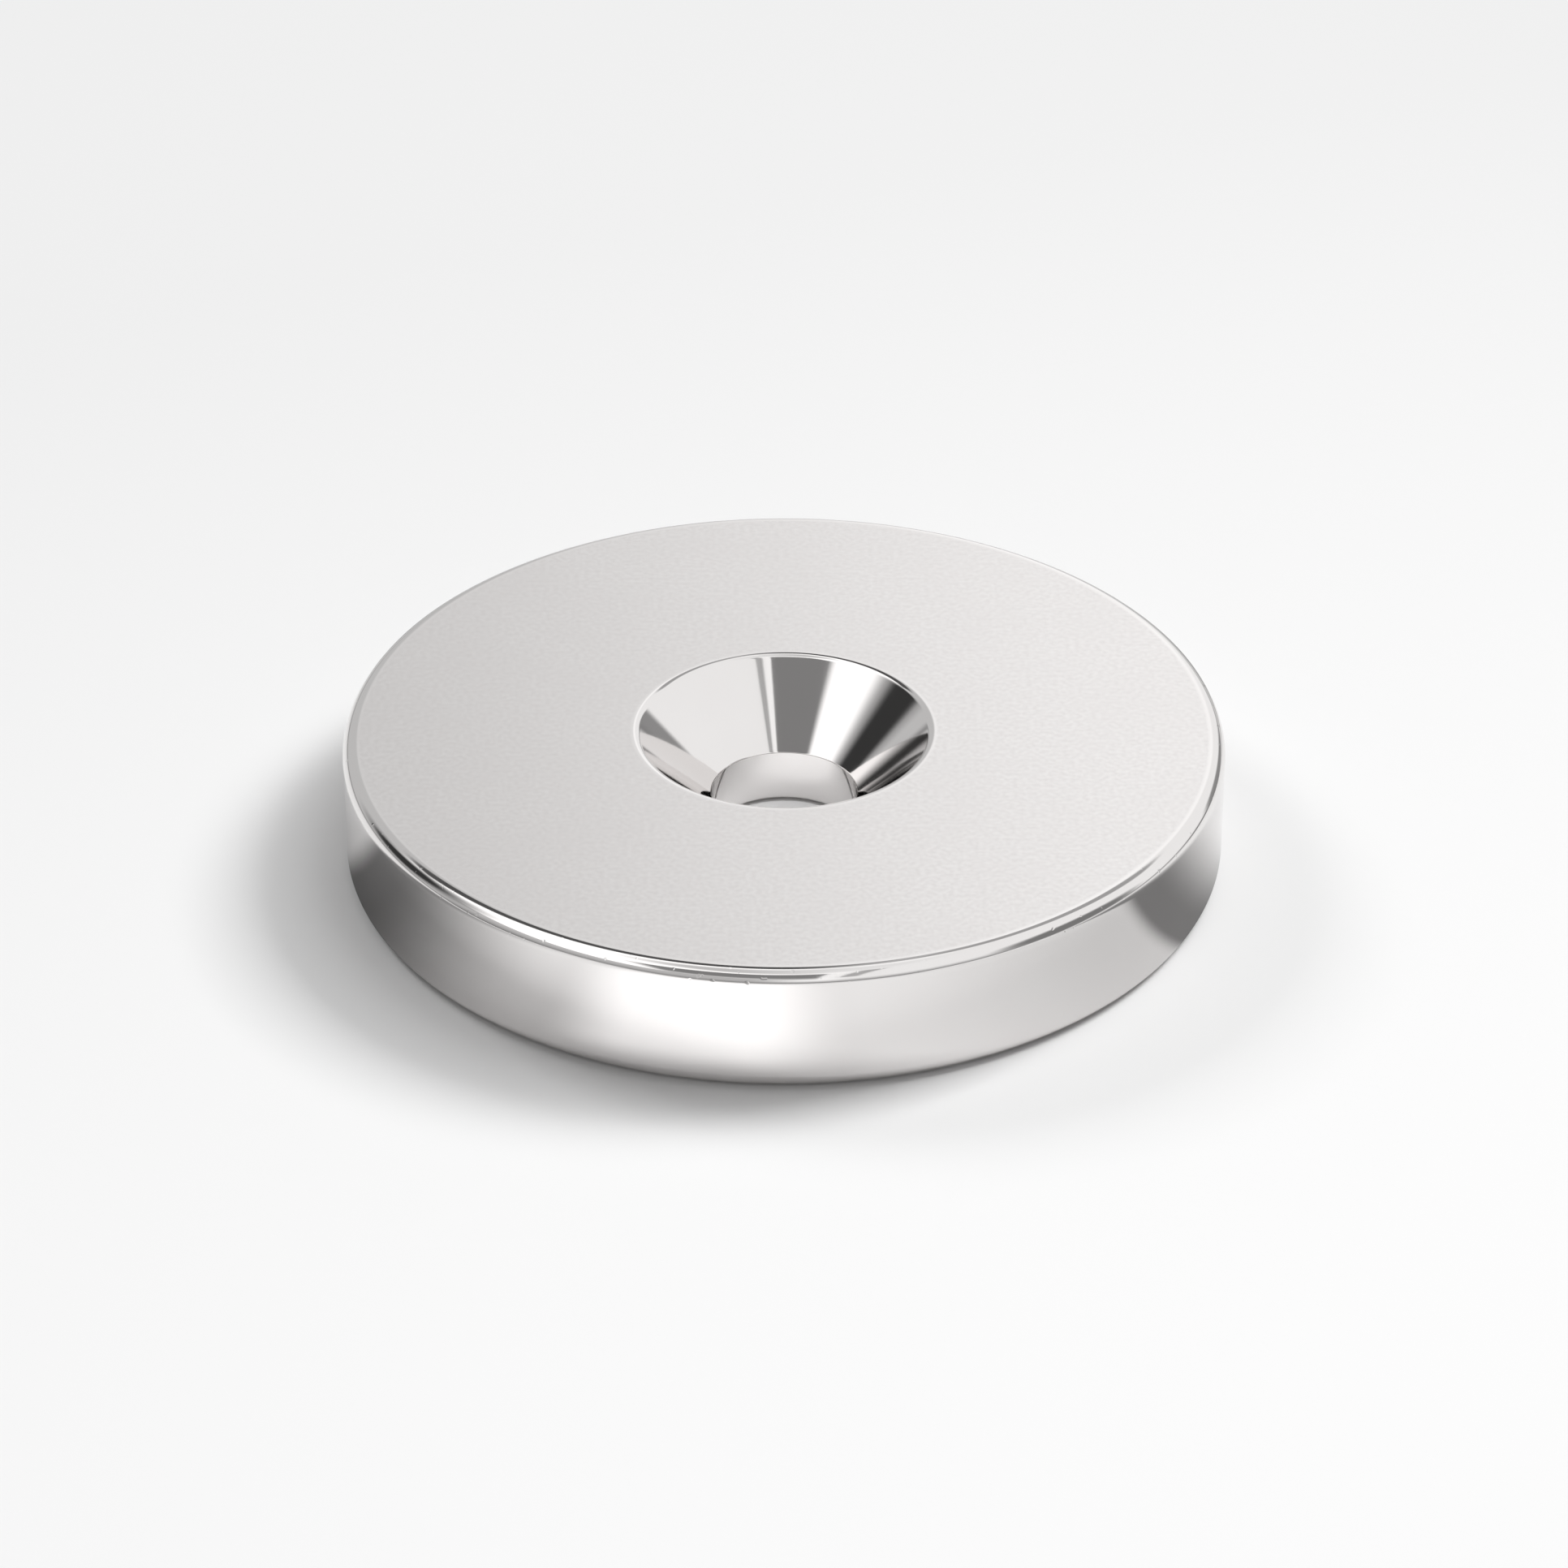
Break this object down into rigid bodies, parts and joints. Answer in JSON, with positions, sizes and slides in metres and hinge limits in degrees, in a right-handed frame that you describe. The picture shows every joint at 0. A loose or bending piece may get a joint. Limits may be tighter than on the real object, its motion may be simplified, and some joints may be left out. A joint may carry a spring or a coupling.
{
  "type": "countersunk magnet",
  "caption": "Flat disc magnet with a rounded rim and a countersunk screw hole through its middle, nickel plated, for holding doors, lids and panels.",
  "frame": {"origin": "centre of the back face, on the hole's axis, at the surface that the magnet lies on", "axes": "+Z along the hole's axis, out of the countersunk front face; X and Y are alike"},
  "size_m": [0.027, 0.027, 0.004],
  "materials": {
    "nickel_plating": "bright nickel plating over sintered alloy, mirror bright on the rim and in the hole, satin on the faces"
  },
  "bodies": {
    "root": {"countersunk_magnet": "nickel_plating"}
  },
  "joints": []
}
